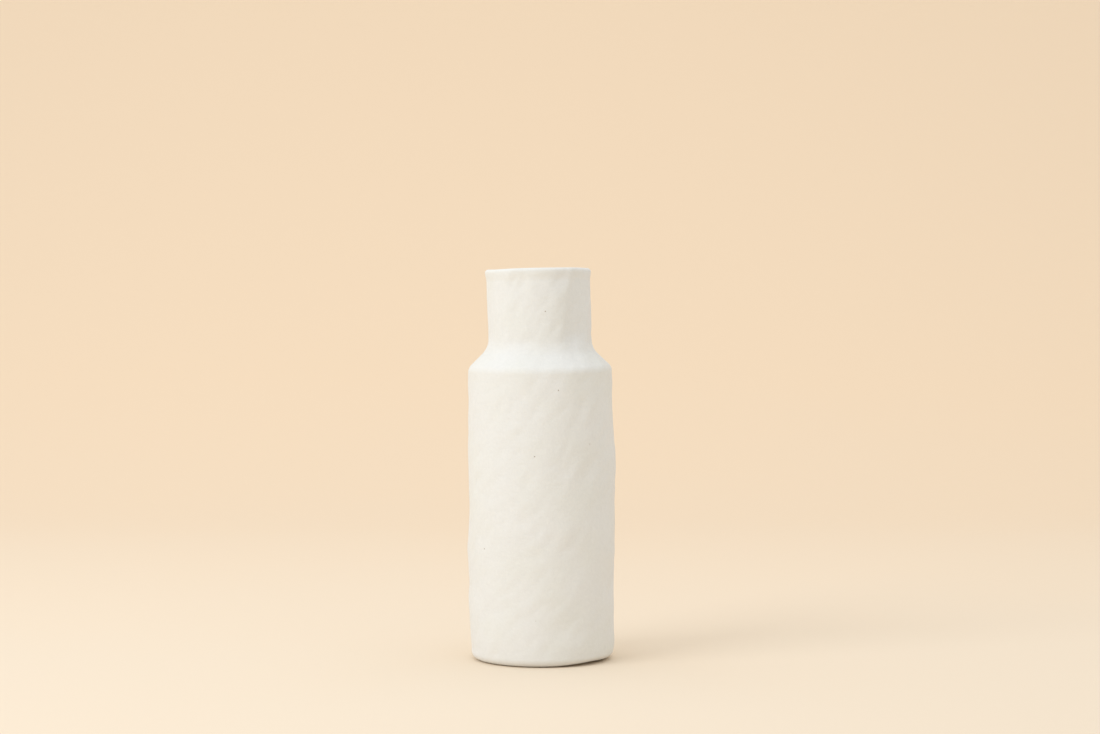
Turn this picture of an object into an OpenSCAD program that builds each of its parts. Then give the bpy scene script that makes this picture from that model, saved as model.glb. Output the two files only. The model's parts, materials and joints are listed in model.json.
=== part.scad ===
// Hand-built ceramic bottle vase: clay slabs joined at scored and slipped joints,
// coils pressed into the corners, and a glaze lining that holds the water.
// Millimetres. +Z is up, and the origin is at the centre of the foot.

/* [Vase] */
// Height from the foot to the top of the lip
overall_h = 220; // [170:1:320]
// Diameter of the body at its foot and under its shoulder
body_d = 81.2; // [72:0.2:130]
// How far the body swells past that diameter halfway up, on each side
belly = 0.8; // [0:0.1:3]
// Outer diameter of the neck
neck_d = 58.9; // [40:0.1:64]
// Height of the neck, from the shoulder's slope to the top of the lip
neck_h = 45.4; // [30:0.2:80]
// Slope of the shoulder, in degrees from the horizontal
shoulder_slope = 45; // [35:1:55]

/* [Clay slabs] */
// Thickness of the floor slab
floor_t = 7; // [6:0.1:10]
// Thickness of the body wall
wall_t = 5.5; // [4:0.1:8]
// Thickness of the shoulder slab
shoulder_t = 5; // [4:0.1:7]
// Thickness of the neck wall
neck_t = 4.4; // [3.6:0.1:6]

/* [Foot] */
// Radius of the rounded edge under the floor slab
foot_round = 4.5; // [2:0.1:5.5]
// Width of the flat ring that the vase stands on
foot_ring_w = 9; // [5:0.5:15]
// Depth of the hollow pressed into the underside, inside that ring
dish_depth = 0.8; // [0.3:0.1:1.5]
// Width of the slope from that ring to the flat of the hollow
dish_slope_w = 3; // [1:0.5:8]

/* [Edges] */
// Radius of the edge between the body wall and the shoulder
shoulder_round = 6; // [2:0.5:10]
// Radius of the edge inside the vase where the shoulder meets the neck
throat_round = 3; // [1:0.5:6]
// Height of the coil that finishes the lip
lip_h = 7; // [5:0.2:12]
// How far the lip stands proud of the neck
lip_swell = 0.65; // [0:0.05:2]
// Radius of the lip's outer edge
lip_outer_round = 1.9; // [0.8:0.1:2]
// Radius of the lip's inner edge
lip_inner_round = 1.6; // [0.8:0.1:1.6]

/* [Corner coils] */
// Radius that the coil between the floor and the wall is smoothed to
floor_coil_round = 8; // [5:0.5:14]
// Radius that the coil under the shoulder is smoothed to
shoulder_coil_round = 13; // [8:0.5:20]
// Radius that the coil around the foot of the neck is smoothed to
neck_coil_round = 12; // [8:0.5:20]
// How far each coil is pressed into the joint behind it
coil_bite = 1.6; // [1:0.1:1.8]

/* [Slip and seams] */
// Thickness of the slip in a joint
slip_t = 0.5; // [0.3:0.1:0.8]
// Clay blended over the slip at both edges of a joint
skin = 0.9; // [0.6:0.1:1]
// Angle of the bevels where the ends of a rolled slab overlap
scarf_angle = 45; // [30:1:60]
// Where the body wall's upright seam lies, in degrees round from +X
body_seam_at = 104; // [0:1:359]
// Where the neck wall's upright seam lies, in degrees round from +X
neck_seam_at = 72; // [0:1:359]

/* [Glaze] */
// Thickness of the glaze lining
glaze_t = 0.5; // [0.3:0.1:0.8]
// How far below the top of the lip the lining ends
glaze_below_lip = 3; // [2:0.5:6]
// Height over which the lining thins out to nothing at its top
glaze_feather = 2.5; // [1:0.5:6]

/* [Hidden] */

clay_white = [0.93, 0.91, 0.87];
bare_clay = [0.88, 0.84, 0.77];
slip_grey = [0.80, 0.77, 0.71];
glaze_white = [0.95, 0.95, 0.92];

$fn = 96;
arc_steps = 10;   // straight steps in a rounded edge, or in each half of the throat's
swell_steps = 14; // straight steps up the swelling of the body

body_or = body_d / 2;
body_ir = body_or - wall_t;
neck_or = neck_d / 2;
neck_ir = neck_or - neck_t;
lip_or = neck_or + lip_swell;

// The turn between an upright wall and the shoulder's slope, and how far along
// either surface a rounding of radius 1 reaches there.
turn = 90 - shoulder_slope;
turn_reach = tan(turn / 2);

shoulder_rise = (body_or - neck_or) * tan(shoulder_slope);
neck_z = overall_h - neck_h;
shoulder_z = neck_z - shoulder_rise;
lip_z = overall_h - lip_h;

// Height of the shoulder's inner surface at radius r.
function under_shoulder(r) =
    shoulder_z + (body_or - r) * tan(shoulder_slope) - shoulder_t / cos(shoulder_slope);

// Sharp corners of the clay, before coils and roundings.
floor_corner = [body_ir, floor_t];
inner_shoulder_corner = [body_ir, under_shoulder(body_ir)];
throat_corner = [neck_ir, under_shoulder(neck_ir)];
neck_corner = [neck_or, neck_z];

slope_out = [cos(shoulder_slope), -sin(shoulder_slope)];

function polar(a) = [cos(a), sin(a)];

function arc(centre, radius, from, to, steps = arc_steps) =
    [for (i = [0 : steps]) centre + radius * polar(from + (to - from) * i / steps)];

function unit(v) = v / norm(v);

// Centres of the rounded edges. Each touches an upright wall and a slope.
shoulder_edge_centre = [body_or - shoulder_round, shoulder_z - shoulder_round * turn_reach];
throat_centre = throat_corner + throat_round * [1, turn_reach];
floor_coil_centre = floor_corner + floor_coil_round * [-1, 1];
shoulder_coil_centre =
    inner_shoulder_corner - shoulder_coil_round * [1, turn_reach];
neck_coil_centre = neck_corner + neck_coil_round * [1, turn_reach];

// Each joint runs from a point on or near the inner surface to one on the outer.
shoulder_edge_middle = shoulder_edge_centre + shoulder_round * polar(turn / 2);
throat_middle = throat_centre + throat_round * polar(180 + turn / 2);
shoulder_coil_root = inner_shoulder_corner
    + coil_bite * unit(shoulder_edge_middle - inner_shoulder_corner);
neck_coil_root = neck_corner + coil_bite * unit(throat_middle - neck_corner);
floor_coil_root = floor_corner + [coil_bite, 0];

floor_joint = [floor_coil_root, [body_or, floor_t]];
shoulder_joint = [shoulder_coil_root, shoulder_edge_middle];
neck_joint = [throat_middle, neck_coil_root];
lip_joint = [[neck_ir, lip_z], [neck_or, lip_z]];

// The swelling of the body, from its foot to the start of the shoulder's edge.
function body_radius(z) =
    body_or + belly * (1 - cos(360 * (z - floor_t) / (shoulder_edge_centre.y - floor_t))) / 2;

body_outline = [
    for (i = [0 : swell_steps])
    let (z = floor_t + (shoulder_edge_centre.y - floor_t) * i / swell_steps)
    [body_radius(z), z]
];

// The lip's outer face eases out from the neck to its full swelling.
lip_ease_z = overall_h - lip_outer_round;
lip_outline = [
    for (i = [0 : arc_steps])
    let (t = i / arc_steps)
    [neck_or + lip_swell * (1 - cos(180 * t)) / 2, lip_z + (lip_ease_z - lip_z) * t]
];

// The layer of slip along the middle of a joint.
module slip_section(joint) {
    along = unit(joint[1] - joint[0]);
    across = slip_t / 2 * [-along.y, along.x];
    inner = joint[0] + skin * along;
    outer = joint[1] - skin * along;
    polygon([inner - across, outer - across, outer + across, inner + across]);
}

module slip_ring(joint) {
    color(slip_grey) rotate_extrude() slip_section(joint);
}

// A thin upright blade that crosses a wall on the slant, where the ends of its slab overlap.
module scarf_blade(outer_r, thickness, at, from_z, to_z) {
    past_both_faces = 3 * thickness / cos(scarf_angle);
    rotate([0, 0, at])
        translate([outer_r - thickness / 2, 0, (from_z + to_z) / 2])
            rotate([0, 0, scarf_angle])
                cube([past_both_faces, slip_t, to_z - from_z], center = true);
}

module body_blade() {
    scarf_blade(body_or, wall_t, body_seam_at, 0, neck_z);
}

module neck_blade() {
    scarf_blade(neck_or, neck_t, neck_seam_at, shoulder_z, overall_h);
}

module floor_slab() {
    dish_r = body_or - foot_round - foot_ring_w;
    color(bare_clay) rotate_extrude() difference() {
        polygon(concat(
            [[0, dish_depth], [dish_r - dish_slope_w, dish_depth], [dish_r, 0]],
            arc([body_or - foot_round, foot_round], foot_round, -90, 0),
            [[body_or, floor_t], [0, floor_t]]
        ));
        slip_section(floor_joint);
    }
}

module body_tube() {
    rotate_extrude() difference() {
        polygon(concat(
            body_outline,
            arc(shoulder_edge_centre, shoulder_round, 0, turn / 2),
            [
                shoulder_coil_root,
                inner_shoulder_corner - [0, coil_bite],
                floor_corner + [0, coil_bite],
                floor_coil_root
            ]
        ));
        slip_section(floor_joint);
        slip_section(shoulder_joint);
    }
}

module body_wall() {
    color(clay_white) difference() {
        body_tube();
        body_blade();
    }
}

module body_scarf_seam() {
    color(slip_grey) intersection() {
        body_tube();
        body_blade();
    }
}

module shoulder_slab() {
    color(clay_white) rotate_extrude() difference() {
        polygon(concat(
            arc(shoulder_edge_centre, shoulder_round, turn / 2, turn),
            [neck_corner + coil_bite * slope_out, neck_coil_root],
            arc(throat_centre, throat_round, 180 + turn / 2, 180 + turn),
            [inner_shoulder_corner - coil_bite * slope_out, shoulder_coil_root]
        ));
        slip_section(shoulder_joint);
        slip_section(neck_joint);
    }
}

module neck_tube() {
    rotate_extrude() difference() {
        polygon(concat(
            [neck_coil_root, neck_corner + [0, coil_bite], [neck_or, lip_z], [neck_ir, lip_z]],
            arc(throat_centre, throat_round, 180, 180 + turn / 2)
        ));
        slip_section(neck_joint);
        slip_section(lip_joint);
    }
}

module neck_wall() {
    color(clay_white) difference() {
        neck_tube();
        neck_blade();
    }
}

module neck_scarf_seam() {
    color(slip_grey) intersection() {
        neck_tube();
        neck_blade();
    }
}

module lip_coil() {
    color(clay_white) rotate_extrude() difference() {
        polygon(concat(
            lip_outline,
            arc([lip_or - lip_outer_round, lip_ease_z], lip_outer_round, 0, 90),
            arc([neck_ir + lip_inner_round, overall_h - lip_inner_round], lip_inner_round, 90, 180),
            [[neck_ir, lip_z]]
        ));
        slip_section(lip_joint);
    }
}

module floor_seam_coil() {
    color(bare_clay) rotate_extrude() polygon(concat(
        arc(floor_coil_centre, floor_coil_round, -90, 0),
        [floor_corner + [0, coil_bite], floor_coil_root]
    ));
}

module shoulder_seam_coil() {
    color(bare_clay) rotate_extrude() polygon(concat(
        arc(shoulder_coil_centre, shoulder_coil_round, 0, turn),
        [
            inner_shoulder_corner - coil_bite * slope_out,
            shoulder_coil_root,
            inner_shoulder_corner - [0, coil_bite]
        ]
    ));
}

module neck_seam_coil() {
    color(clay_white) rotate_extrude() polygon(concat(
        arc(neck_coil_centre, neck_coil_round, 180 + turn, 180),
        [neck_corner + [0, coil_bite], neck_coil_root, neck_corner + coil_bite * slope_out]
    ));
}

// The inside of the vase, from its floor to the end of the glaze, drawn in by an inset.
function lining_outline(inset) = concat(
    [[0, floor_t + inset]],
    arc(floor_coil_centre, floor_coil_round - inset, -90, 0),
    arc(shoulder_coil_centre, shoulder_coil_round - inset, 0, turn),
    arc(throat_centre, throat_round + inset, 180 + turn, 180, 2 * arc_steps),
    [[neck_ir - inset, overall_h - glaze_below_lip - glaze_feather * inset / glaze_t]]
);

function reversed(list) = [for (i = [len(list) - 1 : -1 : 0]) list[i]];

module glaze_lining() {
    color(glaze_white) rotate_extrude()
        polygon(concat(lining_outline(0), reversed(lining_outline(glaze_t))));
}

floor_slab();
body_wall();
shoulder_slab();
neck_wall();
lip_coil();
floor_seam_coil();
shoulder_seam_coil();
neck_seam_coil();
body_scarf_seam();
neck_scarf_seam();
slip_ring(floor_joint);  // floor_joint_slip
slip_ring(shoulder_joint);  // shoulder_joint_slip
slip_ring(neck_joint);  // neck_joint_slip
slip_ring(lip_joint);  // lip_joint_slip
glaze_lining();
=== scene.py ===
"""A hand-built ceramic bottle vase: clay slabs, coils, slip and glaze, formed by fingertips.

Every piece is one outline, drawn with bmesh operators and turned round the vase's axis.
All pieces then go through the same hand-forming, so the faces that meet in a joint still
meet after the clay has been dented, flattened and leaned. Lengths are in metres.
"""

import functools
import json
import logging
import math
import random
from collections.abc import Callable
from dataclasses import dataclass
from enum import Enum

import bmesh
import bpy
import numpy as np
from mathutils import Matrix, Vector


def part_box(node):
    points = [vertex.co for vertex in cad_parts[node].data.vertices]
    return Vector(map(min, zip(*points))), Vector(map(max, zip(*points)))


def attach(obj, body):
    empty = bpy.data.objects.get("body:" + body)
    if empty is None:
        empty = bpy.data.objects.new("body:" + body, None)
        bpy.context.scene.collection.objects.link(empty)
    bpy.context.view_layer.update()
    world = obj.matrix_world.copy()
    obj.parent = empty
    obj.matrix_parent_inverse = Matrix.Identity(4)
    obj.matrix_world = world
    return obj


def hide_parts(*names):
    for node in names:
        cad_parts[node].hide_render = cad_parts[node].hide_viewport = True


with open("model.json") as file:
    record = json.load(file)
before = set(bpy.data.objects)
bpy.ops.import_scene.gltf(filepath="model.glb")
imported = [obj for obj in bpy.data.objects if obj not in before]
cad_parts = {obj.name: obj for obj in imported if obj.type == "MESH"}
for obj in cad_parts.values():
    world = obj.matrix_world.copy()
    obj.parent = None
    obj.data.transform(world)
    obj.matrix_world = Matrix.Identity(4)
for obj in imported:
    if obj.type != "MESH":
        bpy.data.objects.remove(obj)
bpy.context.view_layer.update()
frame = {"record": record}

MM = 0.001
AXIS_UP = (0.0, 0.0, 1.0)
SECTION_NORMAL = (0.0, 1.0, 0.0)
ORIGIN = (0.0, 0.0, 0.0)

UP = Vector((0.0, 1.0))
OUT = Vector((1.0, 0.0))

Point = tuple[float, float]
Array = np.ndarray
Mesh = bmesh.types.BMesh
Socket = bpy.types.NodeSocket
Inputs = dict[str | int, object]

log = logging.getLogger("vase")


# ---- sizes


class Slot(Enum):
    """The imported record's material slots."""

    WHITE_CLAY = "matte_white_clay"
    BARE_CLAY = "bare_clay"
    SLIP = "joining_slip"
    GLAZE = "clear_glaze"


class Groove(Enum):
    """Which side of a joint a piece lies on, and so which half of the slip's groove it has."""

    BELOW = -1.0
    ABOVE = 1.0


def polar(degrees: float) -> Vector:
    """Return the unit vector at an angle from straight outwards, turning upwards."""
    return Vector((math.cos(math.radians(degrees)), math.sin(math.radians(degrees))))


@dataclass(frozen=True)
class Joint:
    """A scored joint between two pieces, as a line across the wall in the half section.

    Attributes:
        inner: Its end at or near the inner surface, as (radius, height).
        outer: Its end at or near the outer surface.
        skin: Clay blended over the slip at both ends.
        slip: Thickness of the slip.
    """

    inner: Vector
    outer: Vector
    skin: float
    slip: float

    def groove(self, side: Groove) -> list[Vector]:
        """Return the four corners of half the slip's groove, from the inner end outwards."""
        along = (self.outer - self.inner).normalized()
        across = Vector((-along.y, along.x)) * (self.slip / 2 * side.value)
        first = self.inner + self.skin * along
        last = self.outer - self.skin * along
        return [first, first + across, last + across, last]

    def ring(self) -> list[Vector]:
        """Return the four corners of the slip itself."""
        below, above = self.groove(Groove.BELOW), self.groove(Groove.ABOVE)
        return [below[1], below[2], above[2], above[1]]


class VaseSizes:
    """The sizes of the clay in metres and degrees, and the main points of its half section."""

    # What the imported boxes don't give is as the CAD source has it.
    slope = 45.0
    shoulder_t = 5 * MM
    foot_round = 4.5 * MM
    foot_ring = 9 * MM
    dish_depth = 0.8 * MM
    dish_slope = 3 * MM
    shoulder_round = 6 * MM
    throat_round = 3 * MM
    lip_outer_round = 1.9 * MM
    lip_inner_round = 1.6 * MM
    floor_coil = 8 * MM
    shoulder_coil = 13 * MM
    neck_coil = 12 * MM
    bite = 1.6 * MM
    glaze_feather = 2.5 * MM

    def __init__(self) -> None:
        """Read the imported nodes' boxes and the mouth's mount, and work out the section."""
        floor_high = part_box("floor_slab")[1]
        lip_low, lip_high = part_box("lip_coil")
        slip_low, slip_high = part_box("lip_joint_slip")
        lining_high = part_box("glaze_lining")[1]
        mouth = next(m for m in frame["record"]["mounts"] if m["name"] == "mouth")
        self.height = lip_high.z
        self.body_r = floor_high.x  # outer, at the foot and under the shoulder
        self.body_ir = lining_high.x
        self.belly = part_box("body_wall")[1].x - floor_high.x  # swell past body_r halfway up
        self.neck_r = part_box("neck_wall")[1].x
        self.lip_r = lip_high.x
        self.lip_z = lip_low.z  # where the lip's coil starts
        self.floor_z = floor_high.z  # the floor inside the vase
        self.slip = self.glaze = slip_high.z - slip_low.z  # the thickness of each
        self.glaze_top = lining_high.z
        self.skin = self.neck_r - slip_high.x  # clay blended over a joint's slip at both edges
        self.neck_ir = mouth["dims"]["r_mm"] * MM + self.glaze  # under the glaze

        self.turn = 90 - self.slope  # degrees from the upright walls to the slope
        self.slope_out = polar(-self.slope)  # down the slope
        # A rounding of radius 1 between wall and slope reaches this far along each of them.
        reach = math.tan(math.radians(self.turn / 2))
        # Where the slope would meet the neck.
        self.neck_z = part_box("neck_seam_coil")[1].z - self.neck_coil * reach

        # The shoulder's outer edge before it is rounded, and the three sharp corners.
        rise = (self.body_r - self.neck_r) * math.tan(math.radians(self.slope))
        self.shoulder_z = self.neck_z - rise
        self.floor_corner = Vector((self.body_ir, self.floor_z))
        self.inner_corner = self._under_shoulder(self.body_ir)
        self.neck_corner = Vector((self.neck_r, self.neck_z))

        # The centres of the two rounded edges, and of the coils' hollow faces.
        edge_z = self.shoulder_z - self.shoulder_round * reach
        self.edge_centre = Vector((self.body_r - self.shoulder_round, edge_z))
        throat = self._under_shoulder(self.neck_ir)
        self.throat_centre = throat + self.throat_round * Vector((1.0, reach))
        self.floor_coil_centre = self.floor_corner + self.floor_coil * Vector((-1.0, 1.0))
        self.shoulder_coil_centre = self.inner_corner - self.shoulder_coil * Vector((1.0, reach))
        self.neck_coil_centre = self.neck_corner + self.neck_coil * Vector((1.0, reach))

        # The joints. The two at the shoulder are mitred.
        self.floor_joint = self._joint(
            self.floor_corner + self.bite * OUT, Vector((self.body_r, self.floor_z))
        )
        outer = self.edge_centre + self.shoulder_round * polar(self.turn / 2)
        away = (outer - self.inner_corner).normalized()
        self.shoulder_joint = self._joint(self.inner_corner + self.bite * away, outer)
        inner = self.throat_centre + self.throat_round * polar(180 + self.turn / 2)
        away = (inner - self.neck_corner).normalized()
        self.neck_joint = self._joint(inner, self.neck_corner + self.bite * away)
        ends = (Vector((radius, self.lip_z)) for radius in (self.neck_ir, self.neck_r))
        self.lip_joint = self._joint(*ends)

    def _under_shoulder(self, radius: float) -> Vector:
        """Return the point of the shoulder's inner surface at a radius."""
        slope = math.radians(self.slope)
        rise = (self.body_r - radius) * math.tan(slope)
        return Vector((radius, self.shoulder_z + rise - self.shoulder_t / math.cos(slope)))

    def _joint(self, inner: Vector, outer: Vector) -> Joint:
        """Return a joint between two points, with this vase's slip."""
        return Joint(inner, outer, self.skin, self.slip)


# ---- drawing


class Outline:
    """Half a section, drawn by a pen that only uses bmesh operators, and then turned.

    The section lies in the XZ plane, with the radius along X.
    """

    ROUND_STEP = 2.5  # degrees between points on a rounded edge
    SECTORS = 24  # equal sectors of a full turn, alike in every piece so that joints meet
    SECTOR_STEPS = 10  # steps in each sector
    SHARP = 30.0  # degrees between two faces from which their edge stays sharp
    MERGE = 1e-7

    def __init__(self, start: Vector | Point, spacing: float = 1.2 * MM) -> None:
        """Put the pen down.

        Args:
            start: Where the outline starts, as (radius, height).
            spacing: The longest edge that stays undivided.
        """
        self.bm = bmesh.new()
        self.spacing = spacing
        self.first = bmesh.ops.create_vert(self.bm, co=(start[0], 0.0, start[1]))["vert"][0]
        self.tip = self.first

    def line(self, *points: Vector | Point) -> "Outline":
        """Draw straight lines from point to point."""
        for radius, height in points:
            made = bmesh.ops.extrude_vert_indiv(self.bm, verts=[self.tip])
            self.tip = made["verts"][0]
            self.tip.co = (radius, 0.0, height)
        return self

    def arc(self, centre: Vector, degrees: float) -> "Outline":
        """Draw an arc about a centre from where the pen is.

        Args:
            centre: The arc's centre.
            degrees: How far it turns, positive from outwards towards upwards.
        """
        steps = max(2, round(abs(degrees) / self.ROUND_STEP))
        made = bmesh.ops.spin(
            self.bm,
            geom=[self.tip],
            cent=(centre.x, 0.0, centre.y),
            axis=SECTION_NORMAL,
            angle=-math.radians(degrees),
            steps=steps,
            use_merge=False,
        )
        self.tip = next(g for g in made["geom_last"] if isinstance(g, bmesh.types.BMVert))
        return self

    def joint(self, joint: Joint, side: Groove, inwards: bool = False) -> "Outline":
        """Draw a joint's face, with half the slip's groove, outwards or inwards."""
        points = [joint.inner, *joint.groove(side), joint.outer]
        return self.line(*(reversed(points) if inwards else points))

    def close(self) -> "Outline":
        """Join the outline's end to its start."""
        bmesh.ops.contextual_create(self.bm, geom=[self.tip, self.first])
        return self

    def turned(self) -> Mesh:
        """Divide the long edges, turn the outline once round the axis, and return the mesh."""
        bm = self.bm
        bmesh.ops.remove_doubles(bm, verts=bm.verts, dist=self.MERGE)
        for edge in list(bm.edges):
            cuts = math.ceil(edge.calc_length() / self.spacing) - 1
            if cuts > 0:
                bmesh.ops.subdivide_edges(bm, edges=[edge], cuts=cuts)
        sector = math.tau / self.SECTORS
        bmesh.ops.spin(
            bm,
            geom=bm.verts[:] + bm.edges[:],
            cent=ORIGIN,
            axis=AXIS_UP,
            angle=sector,
            steps=self.SECTOR_STEPS,
            use_merge=False,
        )
        bmesh.ops.spin(
            bm,
            geom=bm.verts[:] + bm.edges[:] + bm.faces[:],
            cent=ORIGIN,
            axis=AXIS_UP,
            angle=math.tau - sector,
            steps=self.SECTORS - 1,
            use_duplicate=True,
        )
        bmesh.ops.remove_doubles(bm, verts=bm.verts, dist=self.MERGE)
        bmesh.ops.dissolve_degenerate(bm, edges=bm.edges, dist=self.MERGE)
        bmesh.ops.recalc_face_normals(bm, faces=bm.faces)
        return bm


def to_object(bm: Mesh, name: str) -> bpy.types.Object:
    """Turn a finished bmesh into an object, smooth except along its sharp edges.

    Args:
        bm: The mesh, which is freed.
        name: The new object's name.

    Returns:
        The object, linked to the scene, at the origin.
    """
    limit = math.radians(Outline.SHARP)
    for face in bm.faces:
        face.smooth = True
    for edge in bm.edges:
        edge.smooth = edge.calc_face_angle(0.0) < limit
    mesh = bpy.data.meshes.new(name)
    bm.to_mesh(mesh)
    bm.free()
    piece = bpy.data.objects.new(name, mesh)
    bpy.context.scene.collection.objects.link(piece)
    return piece


# ---- hand-forming


def smooth_step(value: Array, low: float, high: float) -> Array:
    """Ease from 0 at low to 1 at high, with no change past either."""
    t = np.clip((value - low) / (high - low), 0.0, 1.0)
    return t * t * (3 - 2 * t)


def wrapped(angle: Array) -> Array:
    """Bring angles in radians between minus and plus half a turn."""
    return (angle + math.pi) % math.tau - math.pi


@dataclass(frozen=True)
class Press:
    """A soft dent left by a fingertip, or a bulge where the depth is negative.

    Attributes:
        azimuth: Degrees round from the front, positive towards +X.
        height: Height of its middle, in millimetres.
        depth: How deep it is, in millimetres.
        width: Its spread across, in millimetres.
        length: Its spread along, in millimetres.
        tilt: Degrees that its length leans to the right of upright.
    """

    azimuth: float
    height: float
    depth: float
    width: float = 6.0
    length: float = 9.0
    tilt: float = 30.0
    SPREADS = 3.5  # how many spreads from its middle a dent is taken to end

    def at(self, azimuth: Array, height: Array, radius: float) -> Array:
        """Return its depth in metres over the surface, at azimuths and heights."""
        across = wrapped(azimuth - math.radians(self.azimuth)) * radius
        up = height - self.height * MM
        lean = math.radians(self.tilt)
        wide = (across * math.cos(lean) - up * math.sin(lean)) / (self.width * MM)
        long = (across * math.sin(lean) + up * math.cos(lean)) / (self.length * MM)
        return self.depth * MM * np.exp(-(wide**2 + long**2) / 2)

    @property
    def span(self) -> tuple[float, float]:
        """The heights in metres between which the dent is deep enough to matter."""
        reach = self.SPREADS * max(self.width, self.length)
        return (self.height - reach) * MM, (self.height + reach) * MM


@dataclass(frozen=True)
class Touches:
    """A family of like dents, laid round the vase in rows and moved off their places by chance.

    Attributes:
        rows: Rows from the foot to the lip.
        per_row: Dents in a row.
        depth: Least and greatest depth, in millimetres.
        width: Least and greatest spread across, in millimetres.
        length: Least and greatest spread along, in millimetres.
        tilt: Least and greatest lean of their length, in degrees.
    """

    rows: int
    per_row: int
    depth: tuple[float, float]
    width: tuple[float, float]
    length: tuple[float, float]
    tilt: tuple[float, float]
    STRAY = 0.4  # furthest that a dent lies from its place in the row, as a share of a place
    RISE = 0.45  # furthest that it lies above or below the row, as a share of the rows' gap

    def scatter(self, chance: random.Random, top: float) -> list[Press]:
        """Return the dents, with their middles up to a height in millimetres."""
        gap = top / self.rows
        ranges = (self.depth, self.width, self.length, self.tilt)
        made = []
        for row in range(self.rows):
            for place in range(self.per_row):
                turn = place + row / 2 + chance.uniform(-self.STRAY, self.STRAY)
                height = gap * (row + 0.5 + chance.uniform(-self.RISE, self.RISE))
                rest = [chance.uniform(*limits) for limits in ranges]
                made.append(Press(360 * turn / self.per_row, height, *rest))
        return made


@dataclass(frozen=True)
class Facet:
    """A flat that a paddle or a palm left on the neck.

    Attributes:
        azimuth: Degrees round from the front at the foot of the neck.
        twist: Degrees that it moves round by the top of the neck.
        depth: How far the flat cuts into the round, in millimetres.
    """

    azimuth: float
    twist: float
    depth: float


@dataclass(frozen=True)
class Swell:
    """A rise or fall of an edge along part of its way round.

    Attributes:
        azimuth: Degrees round from the front.
        spread: Its spread in degrees.
        rise: How far it rises, in millimetres.
    """

    azimuth: float
    spread: float
    rise: float

    def at(self, azimuth: Array) -> Array:
        """Return its rise in metres at each azimuth."""
        away = wrapped(azimuth - math.radians(self.azimuth)) / math.radians(self.spread)
        return self.rise * MM * np.exp(-(away**2) / 2)


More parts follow.
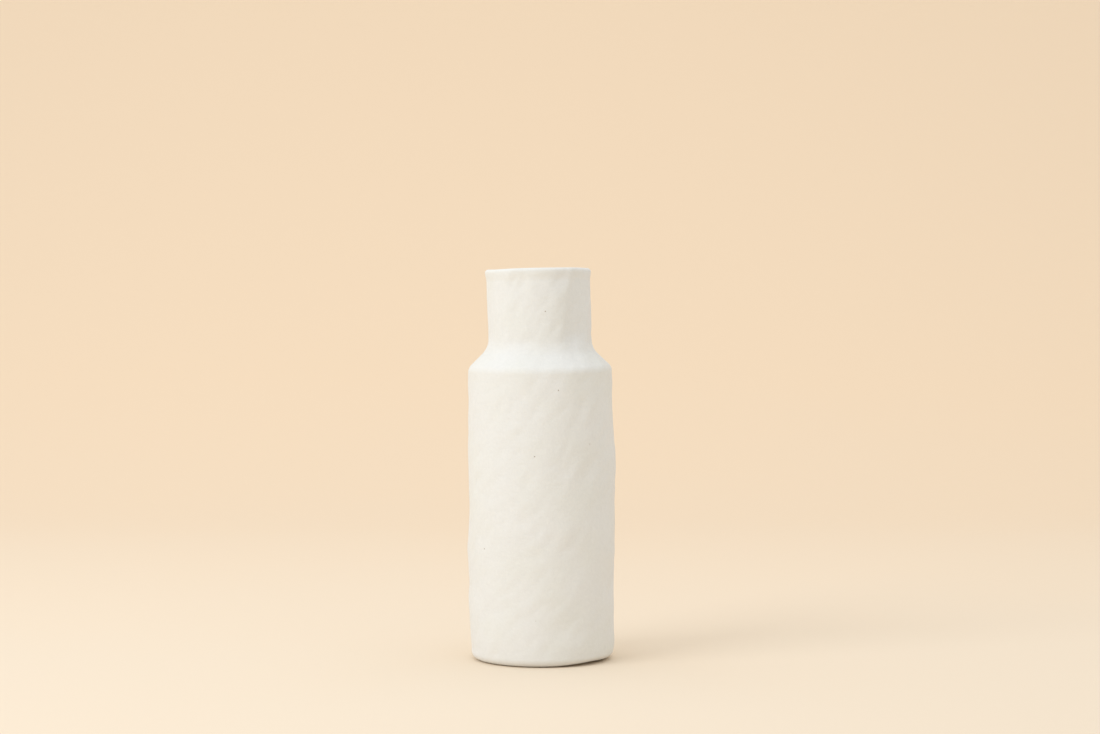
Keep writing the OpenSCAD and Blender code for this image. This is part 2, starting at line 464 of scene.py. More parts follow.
@dataclass
class HandForming:
    """What the potter's hands did to the round form, as one field that moves every piece.

    Attributes:
        sizes: The vase's sizes.
        presses: The dents and bulges, listed one by one.
        facets: The flats round the neck.
        lip_swells: Where the lip's edge rises and falls.
        shoulder_swells: Where the shoulder's edge rises and falls.
        foot_swells: Where the foot's edge curls up more than it does elsewhere.
    """

    sizes: VaseSizes
    presses: tuple[Press, ...]
    facets: tuple[Facet, ...]
    lip_swells: tuple[Swell, ...]
    shoulder_swells: tuple[Swell, ...]
    foot_swells: tuple[Swell, ...]
    LEAN = 1.85 * MM  # how far the lip leans to the left
    LEAN_POWER = 2.2  # how late the lean sets in
    FACET_SOFTNESS = 0.22 * MM  # how much the edges between flats are rounded
    FOOT_GAP = 0.2 * MM  # how far the foot's edge curls up everywhere
    SEED = 11
    WAVES = 18
    WAVE_RISE = 0.045 * MM  # before it is divided by the root of a wave's lobes
    LOBES = (2, 9)
    WAVES_A_METRE = (-30.0, 30.0)
    CORE = (0.2, 0.9)  # shares of the neck's inner radius between which the forming sets in
    FLATS_FADE = 9 * MM  # above the foot of the neck, where the flats set in
    LEAST_FACING = 0.5  # cosine past which a flat no longer cuts
    LIP_FADE = (26 * MM, 4 * MM)  # below the top, where the lip's swells set in
    SHOULDER_SPREAD = 12 * MM  # height over which the shoulder's swells spread
    LIFT_FADE = (20 * MM, 40 * MM)  # heights where any lift sets in
    CURL_START = 0.6  # share of the foot's ring that curls
    CURL_FADE = 6 * MM  # height where the curl ends
    FOOT_FADE = 8 * MM  # height up to which the dents are shallower
    FOOT_SHARE = 0.3  # share of a dent's depth at the very foot
    TUCK = 0.8 * MM  # how far the wall is pushed in at the foot
    TUCK_FADE = 14 * MM  # height where that ends
    FAMILIES = (
        # broad dents of fingertips
        Touches(13, 13, (-0.08, 0.15), (4.0, 6.5), (6.0, 10.0), (5.0, 50.0)),
        # short strokes of a damp finger, which all lean the same way
        Touches(30, 36, (-0.22, 0.35), (1.4, 2.3), (2.6, 4.8), (15.0, 60.0)),
    )

    def __post_init__(self) -> None:
        """Add the many small dents that cover the whole vase, and the slow waves."""
        chance = random.Random(self.SEED)
        top = self.sizes.height / MM
        self.touches = [press for family in self.FAMILIES for press in family.scatter(chance, top)]
        self.waves = [self._slow_wave(chance) for _ in range(self.WAVES)]

    def _slow_wave(self, chance: random.Random) -> tuple[int, float, float, float]:
        """Choose a slow wave round and up the wall, as (lobes, waves a metre, start, height)."""
        lobes = chance.randint(*self.LOBES)
        per_metre = chance.uniform(*self.WAVES_A_METRE)
        return lobes, per_metre, chance.uniform(0, math.tau), self.WAVE_RISE / lobes**0.5

    def lean(self, height: Array) -> Array:
        """Return how far the vase leans over at each height, along X."""
        share = np.clip(height / self.sizes.height, 0.0, 1.0)
        return -self.LEAN * share**self.LEAN_POWER

    def swelling(self, radius: Array, height: Array) -> Array:
        """Return how far the outer face of the body swells."""
        s = self.sizes
        up = np.clip((height - s.floor_z) / (s.edge_centre.y - s.floor_z), 0.0, 1.0)
        outer = np.clip((radius - s.body_ir) / (s.body_r - s.body_ir), 0.0, 1.0)
        return s.belly * outer * (1 - np.cos(math.tau * up)) / 2

    def flats(self, azimuth: Array, height: Array) -> Array:
        """Return how far the neck's flats cut in, as a negative length."""
        s = self.sizes
        up = (height - s.neck_z) / (s.height - s.neck_z)
        cuts = [np.ones_like(azimuth) * s.neck_r]
        for facet in self.facets:
            middle = np.radians(facet.azimuth + facet.twist * up)
            facing = np.cos(wrapped(azimuth - middle))
            cuts.append((s.neck_r - facet.depth * MM) / np.maximum(facing, self.LEAST_FACING))
        nearest = np.min(cuts, axis=0)
        spread = sum(np.exp((nearest - cut) / self.FACET_SOFTNESS) for cut in cuts)
        reach = nearest - self.FACET_SOFTNESS * np.log(spread)
        strength = smooth_step(height, s.neck_z, s.neck_z + self.FLATS_FADE)
        return (reach - s.neck_r) * strength

    def dents(self, azimuth: Array, height: Array) -> Array:
        """Return how far the dents move the wall, as a negative length where it goes in."""
        radius = self.sizes.body_r
        order = np.argsort(height)
        turn, up = azimuth[order], height[order]
        depth = np.zeros_like(up)
        for press in (*self.presses, *self.touches):
            low, high = np.searchsorted(up, press.span)
            depth[low:high] += press.at(turn[low:high], up[low:high], radius)
        moved = np.empty_like(up)
        moved[order] = -depth
        for lobes, per_metre, start, amount in self.waves:
            moved += amount * np.cos(lobes * azimuth + math.tau * per_metre * height + start)
        return moved

    def lift(self, azimuth: Array, height: Array) -> Array:
        """Return how far the edges of the lip and the shoulder rise."""
        s = self.sizes
        lip = sum(swell.at(azimuth) for swell in self.lip_swells)
        shoulder = sum(swell.at(azimuth) for swell in self.shoulder_swells)
        at_lip = smooth_step(height, *(s.height - below for below in self.LIP_FADE))
        near_shoulder = np.exp(-(((height - s.shoulder_z) / self.SHOULDER_SPREAD) ** 2) / 2)
        return lip * at_lip + shoulder * near_shoulder

    def curl(self, radius: Array, azimuth: Array, height: Array) -> Array:
        """Return how far the foot's outer edge curls up from the surface it stands on."""
        s = self.sizes
        flat_r = s.body_r - s.foot_round
        outer = smooth_step(radius, flat_r - self.CURL_START * s.foot_ring, flat_r)
        gap = self.FOOT_GAP + sum(swell.at(azimuth) for swell in self.foot_swells)
        return gap * outer * (1 - smooth_step(height, 0.0, self.CURL_FADE))

    def form(self, piece: bpy.types.Object) -> None:
        """Move every point of a piece as the hands moved the clay.

        Args:
            piece: A turned piece, still round.
        """
        s = self.sizes
        mesh = piece.data
        points = np.empty(len(mesh.vertices) * 3)
        mesh.vertices.foreach_get("co", points)
        x, y, z = points.reshape(-1, 3).T
        radius = np.hypot(x, y)
        azimuth = np.arctan2(x, -y)
        near_wall = smooth_step(radius, *(share * s.neck_ir for share in self.CORE))
        depth = self.FOOT_SHARE + (1 - self.FOOT_SHARE) * smooth_step(z, 0.0, self.FOOT_FADE)
        outward = self.swelling(radius, z)
        outward += self.dents(azimuth, z) * depth
        outward += self.flats(azimuth, z)
        outward -= self.TUCK * (1 - smooth_step(z, 0.0, self.TUCK_FADE))
        new_radius = radius + outward * near_wall
        height = z + self.lift(azimuth, z) * near_wall * smooth_step(z, *self.LIFT_FADE)
        height += self.curl(radius, azimuth, z)
        moved = np.column_stack(
            (new_radius * np.sin(azimuth) + self.lean(z), -new_radius * np.cos(azimuth), height)
        )
        mesh.vertices.foreach_set("co", moved.ravel())
        mesh.update()


# ---- materials


def srgb(code: str) -> tuple[float, float, float, float]:
    """Turn an sRGB hex colour such as "F2EEE6" into linear red, green, blue and alpha."""
    values = [int(code[i : i + 2], 16) / 255 for i in (0, 2, 4)]
    linear = [v / 12.92 if v <= 0.04045 else ((v + 0.055) / 1.055) ** 2.4 for v in values]
    return (*linear, 1.0)


# A colour Mix node's factor, two colours and result are at these places among its sockets.
FACTOR, FIRST, SECOND = 0, 6, 7
COLOUR_MIX = {"output": 2, "data_type": "RGBA"}
SOFT = {"interpolation_type": "SMOOTHSTEP"}


def add_node(
    tree: bpy.types.NodeTree,
    kind: str,
    inputs: Inputs | list[object] | None = None,
    output: str | int = 0,
    **settings: object,
) -> Socket | None:
    """Add a shader node with its settings, input values and links.

    Args:
        tree: The node tree.
        kind: The node's type without its first word, such as "TexNoise".
        inputs: Values, or the output sockets that feed them, by input or in the inputs' order.
            The order of a MapRange's is the value, the two ends it comes from and the two
            that it goes to.
        output: Which output is wanted.
        **settings: Properties of the node.

    Returns:
        The wanted output, or None if the node has no outputs.
    """
    node = tree.nodes.new("ShaderNode" + kind)
    for name, value in settings.items():
        setattr(node, name, value)
    pairs = enumerate(inputs) if isinstance(inputs, list) else (inputs or {}).items()
    for key, value in pairs:
        if isinstance(value, Socket):
            tree.links.new(value, node.inputs[key])
        else:
            node.inputs[key].default_value = value
    return node.outputs[output] if node.outputs else None


class Finish:
    """A finish that is built as one shader on Object coordinates."""

    name: str

    def build(self) -> bpy.types.Material:
        """Make the material."""
        material = bpy.data.materials.new(self.name)
        material.use_nodes = True
        material.node_tree.nodes.clear()
        add = functools.partial(add_node, material.node_tree)
        shader = add("BsdfPrincipled", self.look(add, add("TexCoord", output="Object")))
        add("OutputMaterial", {"Surface": shader})
        return material

    def look(self, add: Callable[..., Socket], where: Socket) -> Inputs:
        """Return the shader's inputs, from the nodes that vary over the surface.

        Args:
            add: Adds a node to the material.
            where: Object coordinates.
        """
        raise NotImplementedError


@dataclass(frozen=True)
class ClayFinish(Finish):
    """Fired clay without glaze: dry, matte and slightly sandy.

    Attributes:
        name: The material's name.
        light: Hex colour of most of the surface.
        warm: Hex colour of the faint warm clouds in it.
        grain_mm: Width of a grain of its texture.
        grain_rise_mm: Height of that grain.
        cloud_mm: Width of a cloud.
        stroke_mm: Width of the finest strokes of a wiping finger.
        stroke_rise_mm: Height of those strokes.
        roughness: How matte it is.
        pit_shade: Hex colour painted into the pinholes, a painted shade in each pit.
        speck_mm: Radius of the largest pinhole.
        speck_gap_mm: Average distance between pinholes' middles.
        speck_depth_mm: Depth of a pinhole.
    """

    name: str
    light: str
    warm: str
    grain_mm: float = 2.0
    grain_rise_mm: float = 0.3
    cloud_mm: float = 28.0
    stroke_mm: float = 3.5
    stroke_rise_mm: float = 0.16
    roughness: float = 0.88
    pit_shade: str = "B3A592"
    speck_mm: float = 0.42
    speck_gap_mm: float = 15.0
    speck_depth_mm: float = 0.25

    def look(self, add: Callable[..., Socket], where: Socket) -> Inputs:
        """Return the shader's inputs: clouds, grain, finger strokes and pinholes with painted shade.
        """
        wiped = add(
            "Mapping", {"Vector": where, "Rotation": (0.0, 0.35, 0.0), "Scale": (0.35, 0.35, 1.6)}
        )
        clouds, grain, strokes = (
            add(
                "TexNoise",
                {"Vector": at, "Scale": 1 / (width * MM), "Detail": detail, "Roughness": rough},
            )
            for at, width, detail, rough in (
                (where, self.cloud_mm, 3.0, 0.55),
                (where, self.grain_mm, 4.0, 0.6),
                (wiped, self.stroke_mm, 3.0, 0.5),
            )
        )
        cloudy = add("MapRange", [clouds, 0.35, 0.72], **SOFT)
        colours = {FIRST: srgb(self.light), SECOND: srgb(self.warm)}
        ground = add("Mix", {FACTOR: cloudy, **colours}, **COLOUR_MIX)
        sandy = add("MapRange", [grain, 0.3, 0.7, 0.965, 1.0])
        sanded = {FACTOR: 1.0, FIRST: ground, SECOND: sandy}
        toned = add("Mix", sanded, blend_type="MULTIPLY", **COLOUR_MIX)
        gap = self.speck_gap_mm
        pits = add("TexVoronoi", {"Vector": where, "Scale": 1 / (gap * MM), "Randomness": 1.0})
        share = self.speck_mm / gap
        pit = add("MapRange", [pits, 0.6 * share, share, 0.8, 0.0])
        # Painted shade: each pinhole is painted darker where the bump below sinks it.
        shaded_pits = {FACTOR: pit, FIRST: toned, SECOND: srgb(self.pit_shade)}
        normal = {}
        for height, strength, rise_mm, invert in (
            (strokes, 0.5, self.stroke_rise_mm, False),
            (grain, 0.6, self.grain_rise_mm, False),
            (pit, 1.0, self.speck_depth_mm, True),
        ):
            relief = {"Height": height, "Strength": strength, "Distance": rise_mm * MM, **normal}
            normal = {"Normal": add("Bump", relief, invert=invert)}
        return {
            "Base Color": add("Mix", shaded_pits, **COLOUR_MIX),
            "Roughness": add(
                "MapRange", [clouds, 0.3, 0.7, self.roughness - 0.05, self.roughness + 0.05]
            ),
            "IOR": 1.5,
            "Specular IOR Level": 0.35,
            **normal,
        }


@dataclass(frozen=True)
class GlazeFinish(Finish):
    """Clear liner glaze over white clay: glossy, with a soft ripple and a cool tint.

    Attributes:
        name: The material's name.
        thin: Hex colour where the glaze is thin.
        pooled: Hex colour where it has run down and pooled on the floor.
        run_mm: Width of the streaks in which it ran.
        ripple_mm: Width of a ripple.
        ripple_rise_mm: Height of a ripple.
        pool_mm: Heights between which the pool thins out.
    """

    name: str
    thin: str = "E9E6DB"
    pooled: str = "D3D8C8"
    run_mm: float = 18.0
    ripple_mm: float = 5.0
    ripple_rise_mm: float = 0.12
    pool_mm: tuple[float, float] = (8.0, 30.0)

    def look(self, add: Callable[..., Socket], where: Socket) -> Inputs:
        """Return the shader's inputs: a pool of thicker glaze, streaks and a ripple."""
        height = add("SeparateXYZ", {"Vector": where}, "Z")
        run, ripple = (
            add("TexNoise", {"Vector": where, "Scale": 1 / (width * MM), "Detail": detail})
            for width, detail in ((self.run_mm, 2.0), (self.ripple_mm, 1.0))
        )
        pool = (level * MM for level in self.pool_mm)
        depth = add("MapRange", [height, *pool, 1.0, 0.0], **SOFT)
        pooling = add("Math", [depth, run], operation="MULTIPLY")
        colours = {FIRST: srgb(self.thin), SECOND: srgb(self.pooled)}
        relief = {"Height": ripple, "Strength": 0.5, "Distance": self.ripple_rise_mm * MM}
        return {
            "Base Color": add("Mix", {FACTOR: pooling, **colours}, **COLOUR_MIX),
            "Roughness": add("MapRange", [run, 0.0, 1.0, 0.12, 0.24]),
            "Normal": add("Bump", relief),
            "IOR": 1.52,
        }


@dataclass(frozen=True)
class PaperFinish(Finish):
    """Seamless background paper: matte, pale and very slightly uneven, with painted sheen on its
    floor.

    Attributes:
        name: The material's name.
        floor: Hex colour of the paper where it is floor, painted cooler and less saturated: painted
            sheen.
        backdrop: Hex colour of the paper where it hangs.
        cloud_mm: Width of its unevenness.
        unevenness: How much that shifts the change from floor to backdrop, in metres.
        change: Distances behind the vase between which the colour changes, in metres.
    """

    name: str
    floor: str
    backdrop: str
    cloud_mm: float = 400.0
    unevenness: float = 0.4
    change: tuple[float, float] = (0.2, 1.6)

    def look(self, add: Callable[..., Socket], where: Socket) -> Inputs:
        """Return the shader's inputs: the floor's painted sheen changing slowly into the backdrop's
        colour.
        """
        slow = add("TexNoise", {"Vector": where, "Scale": 1 / (self.cloud_mm * MM), "Detail": 2.0})
        away = add("SeparateXYZ", {"Vector": where}, "Y")
        uneven = add("Math", [slow, self.unevenness, away], operation="MULTIPLY_ADD")
        far = add("MapRange", [uneven, *self.change])
        # Painted sheen: the same paper is painted cooler and less saturated where it lies as floor.
        colours = {FIRST: srgb(self.floor), SECOND: srgb(self.backdrop)}
        colour = add("Mix", {FACTOR: far, **colours}, **COLOUR_MIX)
        return {"Base Color": colour, "Roughness": 0.9, "Specular IOR Level": 0.2}


FINISHES: dict[Slot, Finish] = {
    # White stoneware slab, wiped smooth with damp fingers and fired unglazed: the eye sees
    # a dry chalky white with a fine grain, faint warm clouds and a few pinholes.
    Slot.WHITE_CLAY: ClayFinish("matte_white_stoneware", "E6E6E3", "E5E5E0"),
    # The same clay where it isn't wiped but sanded, under the foot: a touch darker.
    Slot.BARE_CLAY: ClayFinish("sanded_bare_stoneware", "DDD5C6", "D2C7B4", 0.8, 0.05),
    # Slip, which is clay thinned with water: once fired it is coarser and a touch darker.
    Slot.SLIP: ClayFinish("fired_joining_slip", "E0DED8", "DBD8CF", 1.1, 0.1),
    # A clear liner glaze over the same clay: wet-looking, and greenish where it is thick.
    Slot.GLAZE: GlazeFinish("clear_liner_glaze"),
}


# ---- the vase


@dataclass
class Assembly:
    """A sub-assembly of the vase, with what it needs to make its pieces.

    Attributes:
        sizes: The vase's sizes.
        hands: The hand-forming that every piece goes through.
        materials: The material of each slot.
    """

    sizes: VaseSizes
    hands: HandForming
    materials: dict[Slot, bpy.types.Material]

    def finish(self, bm: Mesh, name: str, node: str, slot: Slot) -> bpy.types.Object:
        """Form and dress a turned mesh, and let it stand for its CAD node.

        Args:
            bm: The round mesh.
            name: The piece's name.
            node: The CAD node that it replaces.
            slot: The record's slot whose finish it takes.

        Returns:
            The finished piece.
        """
        piece = to_object(bm, name)
        self.hands.form(piece)
        piece.data.materials.append(self.materials[slot])
        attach(piece, "root")
        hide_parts(node)
        log.info("%s stands for %s: %d faces", name, node, len(piece.data.polygons))
        return piece

    def slip_ring(self, joint: Joint, place: str) -> None:
        """Make the ring of slip that fills a joint's groove, named for the joint's place."""
        first, *others = joint.ring()
        ring = Outline(first).line(*others).close().turned()
        self.finish(ring, f"{place}_slip", f"{place}_joint_slip", Slot.SLIP)


@dataclass
class Scarf:
    """The slanting, upright joint where the two ends of a rolled slab overlap.

    Attributes:
        azimuth: Degrees round from +X to the joint.
        radius: Middle radius of the wall.
        thickness: Thickness of the slip in the joint.
        slant: Degrees between the joint and the wall's own thickness.
    """

    azimuth: float
    radius: float
    thickness: float
    slant: float = 45.0
    REACH = 20 * MM

    def _cut(self, bm: Mesh, point: Vector, normal: Vector) -> None:
        """Cut the wall along an upright plane, near the joint only."""
        near = [f for f in bm.faces if (f.calc_center_median().xy - point.xy).length < self.REACH]
        edges = {e for f in near for e in f.edges}
        verts = {v for f in near for v in f.verts}
        geom = [*near, *edges, *verts]
        bmesh.ops.bisect_plane(bm, geom=geom, dist=Outline.MERGE, plane_co=point, plane_no=normal)

    def split(self, bm: Mesh, keep_slip: bool) -> Mesh:
        """Cut out the slip, or everything but the slip, and close the cut faces.

        Args:
            bm: A turned wall.
            keep_slip: True to keep the slip, False to keep the wall.

        Returns:
            The same mesh.
        """
        turn = math.radians(self.azimuth)
        lean = turn + math.radians(self.slant)
        middle = Vector((math.cos(turn), math.sin(turn), 0.0)) * self.radius
        across = Vector((-math.sin(lean), math.cos(lean), 0.0))
        half = self.thickness / 2
        for side in (-half, half):
            self._cut(bm, middle + across * side, across)

        def in_slip(face: bmesh.types.BMFace) -> bool:
            """Tell whether a face lies between the two cuts, on this side of the vase."""
            away = face.calc_center_median() - middle
            return abs(away.dot(across)) < half and away.xy.length < self.REACH

        unwanted = [f for f in bm.faces if in_slip(f) != keep_slip]
        bmesh.ops.delete(bm, geom=unwanted, context="FACES")
        rims = [e for e in bm.edges if e.is_boundary]
        bmesh.ops.holes_fill(bm, edges=rims, sides=0)
        bmesh.ops.recalc_face_normals(bm, faces=bm.faces)
        return bm


@dataclass
class RolledSlab(Assembly):
    """A wall rolled from one slab and closed by an upright scarf joint at the back."""

    place = ""
    seam_azimuth = 90.0

    def tube(self) -> Mesh:
        """Turn the wall, as if it had no upright joint."""
        raise NotImplementedError

    def roll(self, outer: float, inner: float) -> None:
        """Make the wall and the slip in its upright joint, between two radii."""
        scarf = Scarf(self.seam_azimuth, (outer + inner) / 2, self.sizes.slip)
        wall, seam = (scarf.split(self.tube(), keep_slip) for keep_slip in (False, True))
        self.finish(wall, f"{self.place}_clay", f"{self.place}_wall", Slot.WHITE_CLAY)
        self.finish(seam, f"{self.place}_seam_slip", f"{self.place}_scarf_seam", Slot.SLIP)


@dataclass
class Foot(Assembly):
    """The floor slab that the vase stands on, with the coil and the slip that hold the wall."""

    UNDERSIDE = -0.9  # a face whose normal's Z is less than this is under the foot

    def build(self) -> None:
        """Make the slab, its coil and its slip."""
        s = self.sizes
        self.slab()
        coil = (
            Outline(s.floor_coil_centre - s.floor_coil * UP)
            .arc(s.floor_coil_centre, 90)
            .line(s.floor_corner + s.bite * UP, s.floor_joint.inner)
            .close()
        )
        self.finish(coil.turned(), "floor_inner_coil", "floor_seam_coil", Slot.BARE_CLAY)
        self.slip_ring(s.floor_joint, "floor")

    def slab(self) -> None:
        """Make the floor slab: white clay at its side and sanded clay underneath."""
        s = self.sizes
        edge_r = s.body_r - s.foot_round
        dish_r = edge_r - s.foot_ring
        outline = (
            Outline((0.0, s.dish_depth))
            .line((dish_r - s.dish_slope, s.dish_depth), (dish_r, 0.0), (edge_r, 0.0))
            .arc(Vector((edge_r, s.foot_round)), 90)
            .joint(s.floor_joint, Groove.BELOW, inwards=True)
            .line((0.0, s.floor_z))
        )
        bm = outline.turned()
        for face in bm.faces:
            face.material_index = int(face.normal.z > self.UNDERSIDE)
        piece = self.finish(bm, "floor_clay", "floor_slab", Slot.BARE_CLAY)
        piece.data.materials.append(self.materials[Slot.WHITE_CLAY])


@dataclass
class Body(RolledSlab):
    """The body's wall."""

    place = "body"
    seam_azimuth = 104.0

    def build(self) -> None:
        """Make the wall and its seam."""
        self.roll(self.sizes.body_r, self.sizes.body_ir)

    def tube(self) -> Mesh:
        """Turn the wall, as if it had no upright joint."""
        s = self.sizes
        outline = (
            Outline(s.floor_joint.outer)
            .line((s.body_r, s.edge_centre.y))
            .arc(s.edge_centre, s.turn / 2)
            .joint(s.shoulder_joint, Groove.BELOW, inwards=True)
            .line(s.inner_corner - s.bite * UP, s.floor_corner + s.bite * UP)
            .joint(s.floor_joint, Groove.ABOVE)
            .close()
        )
        return outline.turned()


@dataclass
class Shoulder(Assembly):
    """The sloping ring between body and neck, with the coil under it and its slip."""

    def build(self) -> None:
        """Make the ring, its coil and its slip."""
        s = self.sizes
        ring = (
            Outline(s.shoulder_joint.outer)
            .arc(s.edge_centre, s.turn / 2)
            .line(s.neck_corner + s.bite * s.slope_out)
            .joint(s.neck_joint, Groove.BELOW, inwards=True)
            .arc(s.throat_centre, s.turn / 2)
            .line(s.inner_corner - s.bite * s.slope_out)
            .joint(s.shoulder_joint, Groove.ABOVE)
            .close()
        )
        self.finish(ring.turned(), "shoulder_clay", "shoulder_slab", Slot.WHITE_CLAY)
        coil = (
            Outline(s.shoulder_coil_centre + s.shoulder_coil * OUT)
            .arc(s.shoulder_coil_centre, s.turn)
            .line(s.inner_corner - s.bite * s.slope_out, s.shoulder_joint.inner)
            .line(s.inner_corner - s.bite * UP)
            .close()
        )
        self.finish(coil.turned(), "shoulder_inner_coil", "shoulder_seam_coil", Slot.BARE_CLAY)
        self.slip_ring(s.shoulder_joint, "shoulder")


@dataclass
class Neck(RolledSlab):
    """The neck's wall, the coil that blends it into the slope, and its slip."""

    place = "neck"
    seam_azimuth = 72.0

    def build(self) -> None:
        """Make the wall, its seam, its coil and its slip."""
        s = self.sizes
        self.roll(s.neck_r, s.neck_ir)
        coil = (
            Outline(s.neck_coil_centre + s.neck_coil * polar(180 + s.turn))
            .arc(s.neck_coil_centre, -s.turn)
            .line(s.neck_corner + s.bite * UP, s.neck_joint.outer)
            .line(s.neck_corner + s.bite * s.slope_out)
            .close()
        )
        self.finish(coil.turned(), "neck_outer_coil", "neck_seam_coil", Slot.WHITE_CLAY)
        self.slip_ring(s.neck_joint, "neck")

    def tube(self) -> Mesh:
        """Turn the wall, as if it had no upright joint."""
        s = self.sizes
        outline = (
            Outline(s.neck_joint.outer)
            .line(s.neck_corner + s.bite * UP)
            .joint(s.lip_joint, Groove.BELOW, inwards=True)
            .line((s.neck_ir, s.throat_centre.y))
            .arc(s.throat_centre, s.turn / 2)
            .joint(s.neck_joint, Groove.ABOVE)
            .close()
        )
        return outline.turned()


@dataclass
class Lip(Assembly):
    """The coil that finishes the mouth, a little proud of the neck."""

    EASE_STEPS = 8

    def build(self) -> None:
        """Make the coil and its slip."""
        s = self.sizes
        ease_top = s.height - s.lip_outer_round
        outline = Outline(s.lip_joint.outer)
        for step in range(1, self.EASE_STEPS + 1):
            t = step / self.EASE_STEPS
            swell = (s.lip_r - s.neck_r) * (1 - math.cos(math.pi * t)) / 2
            outline.line((s.neck_r + swell, s.lip_z + (ease_top - s.lip_z) * t))
        inner_centre = Vector((s.neck_ir + s.lip_inner_round, s.height - s.lip_inner_round))
        outline.arc(Vector((s.lip_r - s.lip_outer_round, ease_top)), 90)
        outline.line(inner_centre + s.lip_inner_round * UP).arc(inner_centre, 90)
        outline.joint(s.lip_joint, Groove.ABOVE).close()
        self.finish(outline.turned(), "lip_clay", "lip_coil", Slot.WHITE_CLAY)
        self.slip_ring(s.lip_joint, "lip")


@dataclass
class Lining(Assembly):
    """The clear glaze that makes the inside of the vase hold water."""

    SPACING = 3 * MM

    def build(self) -> None:
        """Make the lining, up the clay's surface and back down the glaze's."""
        s = self.sizes
        outline = (
            Outline((0.0, s.floor_z), self.SPACING)
            .line(s.floor_coil_centre - s.floor_coil * UP)
            .arc(s.floor_coil_centre, 90)
            .line(s.shoulder_coil_centre + s.shoulder_coil * OUT)
            .arc(s.shoulder_coil_centre, s.turn)
            .line(s.throat_centre + s.throat_round * polar(180 + s.turn))
            .arc(s.throat_centre, -s.turn)
            .line((s.neck_ir, s.glaze_top))
            .line((s.neck_ir - s.glaze, s.glaze_top - s.glaze_feather))
            .line(s.throat_centre - (s.throat_round + s.glaze) * OUT)
            .arc(s.throat_centre, s.turn)
            .line(s.shoulder_coil_centre + (s.shoulder_coil - s.glaze) * polar(s.turn))
            .arc(s.shoulder_coil_centre, -s.turn)
            .line(s.floor_coil_centre + (s.floor_coil - s.glaze) * OUT)
            .arc(s.floor_coil_centre, -90)
            .line((0.0, s.floor_z + s.glaze))
        )
        self.finish(outline.turned(), "inner_glaze", "glaze_lining", Slot.GLAZE)


# ---- the studio


@dataclass
class SoftLight:
    """A large soft light.

    Attributes:
        name: Its name.
        place: Where it stands, in metres.
        aim: What it points at.
        width: Its width in metres.
        height: Its height in metres.
        power: Its power in watts.
        colour: Hex colour of its light.
    """

    name: str
    place: tuple[float, float, float]
    aim: tuple[float, float, float]
    width: float
    height: float
    power: float
    colour: str = "F8FBFF"

    def build(self) -> None:
        """Put the light in the scene."""
        data = bpy.data.lights.new(self.name, "AREA")
        data.shape = "RECTANGLE"
        data.size, data.size_y = self.width, self.height
        data.energy = self.power
        data.color = srgb(self.colour)[:3]
        light = bpy.data.objects.new(self.name, data)
        light.location = self.place
        facing = Vector(self.aim) - Vector(self.place)
        light.rotation_euler = facing.to_track_quat("-Z", "Y").to_euler()
        bpy.context.scene.collection.objects.link(light)


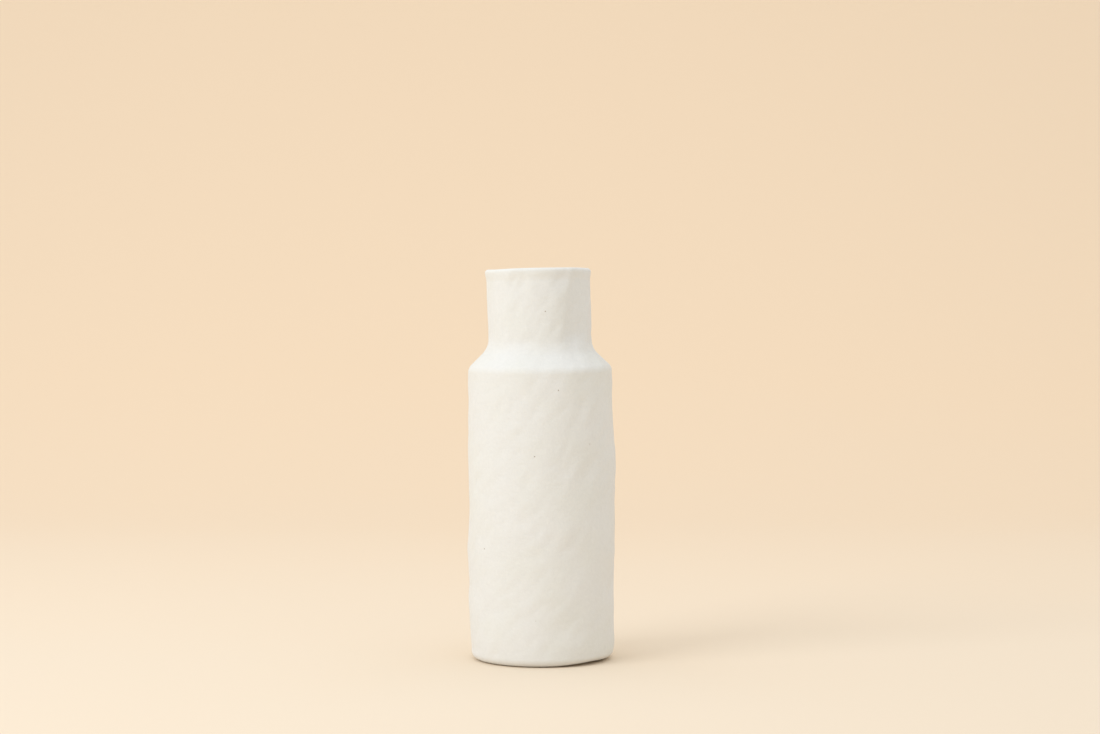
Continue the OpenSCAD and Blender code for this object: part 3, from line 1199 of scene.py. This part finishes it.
@dataclass
class Studio:
    """A pale paper sweep, soft lights and the camera, in metres and degrees.

    Attributes:
        sizes: The vase's sizes.
    """

    sizes: VaseSizes
    FRONT = 1.8  # how far the paper reaches in front of the vase
    BACK = 0.8  # how far behind the vase it turns up
    BEND = 1.5  # radius of that turn
    BEND_STEPS = 24
    TOP = 2.8  # height of the paper
    HALF_WIDTH = 1.8
    SINK = 0.05 * MM  # how far it lies under the foot, so that the two faces don't coincide
    CAMERA_PLACE = (0.0048, -1.303, 0.198)
    CAMERA_PITCH = -1.473
    LENS_MM = 75.63
    SENSOR_MM = 36.0

    def build(self) -> None:
        """Make the whole studio."""
        self.sweep()
        self.lights()
        self.camera()

    def sweep(self) -> None:
        """Make the seamless paper, floor and backdrop in one."""
        bm = bmesh.new()
        start = bmesh.ops.create_vert(bm, co=(-self.HALF_WIDTH, -self.FRONT, 0.0))["vert"][0]
        made = bmesh.ops.extrude_vert_indiv(bm, verts=[start])
        corner = made["verts"][0]
        corner.co.y = self.BACK
        made = bmesh.ops.spin(
            bm,
            geom=[corner],
            cent=(-self.HALF_WIDTH, self.BACK, self.BEND),
            axis=(1.0, 0.0, 0.0),
            angle=math.radians(90),
            steps=self.BEND_STEPS,
            use_merge=False,
        )
        foot = next(g for g in made["geom_last"] if isinstance(g, bmesh.types.BMVert))
        made = bmesh.ops.extrude_vert_indiv(bm, verts=[foot])
        made["verts"][0].co.z = self.TOP
        side = bmesh.ops.extrude_edge_only(bm, edges=bm.edges[:])
        moved = [g for g in side["geom"] if isinstance(g, bmesh.types.BMVert)]
        bmesh.ops.translate(bm, verts=moved, vec=(2 * self.HALF_WIDTH, 0.0, 0.0))
        bmesh.ops.translate(bm, verts=bm.verts[:], vec=(0.0, 0.0, -self.SINK))
        bmesh.ops.recalc_face_normals(bm, faces=bm.faces)
        paper = to_object(bm, "paper_sweep")
        # The paper's floor colour holds a painted sheen.
        paper.data.materials.append(PaperFinish("seamless_paper", "ECDDC8", "F3DDC1").build())

    def lights(self) -> None:
        """Make the soft lights and the even light of a pale room."""
        middle = (0.0, 0.0, self.sizes.height / 2)
        SoftLight("key_softbox", (-1.4, -1.1, 1.1), middle, 1.2, 1.2, 14.4).build()
        SoftLight("overhead_softbox", (0.0, 0.3, 1.9), middle, 1.8, 1.6, 7.9).build()
        world = bpy.data.worlds.new("pale_room")
        world.use_nodes = True
        tree = world.node_tree
        tree.nodes.clear()
        glow = add_node(tree, "Background", {"Color": srgb("F7F7F6"), "Strength": 0.88})
        add_node(tree, "OutputWorld", {"Surface": glow})
        bpy.context.scene.world = world

    def camera(self) -> None:
        """Make the camera, level with the neck and a little off to one side."""
        data = bpy.data.cameras.new("camera")
        data.lens = self.LENS_MM
        data.sensor_width = self.SENSOR_MM
        camera = bpy.data.objects.new("camera", data)
        camera.location = self.CAMERA_PLACE
        camera.rotation_euler = (math.radians(90 + self.CAMERA_PITCH), 0.0, 0.0)
        bpy.context.scene.collection.objects.link(camera)
        bpy.context.scene.camera = camera


# ---- main


# The dents, flats and swells that this vase has. A press is its azimuth, height, depth,
# width, length and tilt.
PRESSES = (
    # the right of the body, where the light grazes it
    Press(42, 142, -0.70, 3, 8, 20),
    Press(35, 138, 0.30, 3, 8, 25),
    Press(52, 128, -0.25, 5, 9, 30),
    Press(40, 107, 0.80, 3, 8, 25),
    Press(48, 100, -0.40, 3, 7, 30),
    Press(16, 107, 0.45, 3, 6, 35),
    Press(19, 75, -0.60, 4, 4, 40),
    Press(66, 63, -0.70, 9, 8, 0),
    Press(62, 47, 0.45, 8, 8, 0),
    Press(33, 62, 0.30, 5, 8, 30),
    # low on the front, above the foot
    Press(-25, 19, -0.25, 5, 5, 60),
    Press(-18, 12, 0.30, 3, 5, 30),
    Press(28, 11, -0.25, 4, 6, 80),
    # silhouettes of both sides
    Press(-88, 104, 0.40, 9, 10, 0),
    Press(-88, 82, 0.85, 8, 11, 0),
    Press(-88, 63, -0.40, 9, 9, 0),
    Press(-85, 48, 0.60, 8, 6, 0),
    Press(-88, 132, -0.15, 8, 9, 0),
    Press(-88, 32, -0.45, 8, 6, 0),
    Press(-88, 20, 0.35, 9, 7, 0),
    Press(-86, 6, 0.90, 12, 6, 0),
    Press(84, 7, -0.80, 12, 8, 0),
    Press(88, 110, -1.10, 9, 11, 0),
    # under the shoulder's edge
    Press(-32, 158, 0.25, 6, 5, 90),
    Press(46, 158, 0.35, 5, 6, 90),
    # low on the neck, and high under the lip
    Press(-88, 184, 0.80, 8, 7, 0),
    Press(-14, 179, 0.80, 3, 7, 80),
    Press(64, 181, 0.50, 6, 6, 0),
    Press(22, 202, -0.60, 5, 7, 35),
    Press(0, 214, 0.30, 4, 4, 0),
    Press(25, 214, 0.45, 4, 5, 10),
    Press(48, 214, 0.45, 4, 5, 0),
)
FACETS = (
    Facet(-27, 12, 0.4),
    Facet(43, 18, 2.0),
    Facet(100, -4, 0.3),
    Facet(140, 6, 1.1),
    Facet(188, -8, 0.8),
    Facet(-118, 5, 1.0),
    Facet(-68, 0, 0.5),
)
LIP_SWELLS = (
    Swell(-65, 28, -0.85),
    Swell(62, 30, 0.35),
    Swell(110, 22, -0.35),
    Swell(160, 28, 0.4),
    Swell(-150, 30, -0.45),
)
SHOULDER_SWELLS = (Swell(84, 32, 1.4), Swell(-40, 30, 0.3), Swell(170, 35, -0.8), Swell(-120, 30, 0.7))
FOOT_SWELLS = (Swell(51, 20, 1.2),)


def main() -> None:
    """Build the vase and the studio."""
    logging.basicConfig(level=logging.INFO, format="%(name)s: %(message)s")
    bpy.context.scene.view_settings.view_transform = "Standard"
    sizes = VaseSizes()
    log.info("sizes: %s", vars(sizes))
    hands = HandForming(sizes, PRESSES, FACETS, LIP_SWELLS, SHOULDER_SWELLS, FOOT_SWELLS)
    materials = {slot: finish.build() for slot, finish in FINISHES.items()}
    for part in (Foot, Body, Shoulder, Neck, Lip, Lining):
        part(sizes, hands, materials).build()
    Studio(sizes).build()


if __name__ == "__main__":
    main()
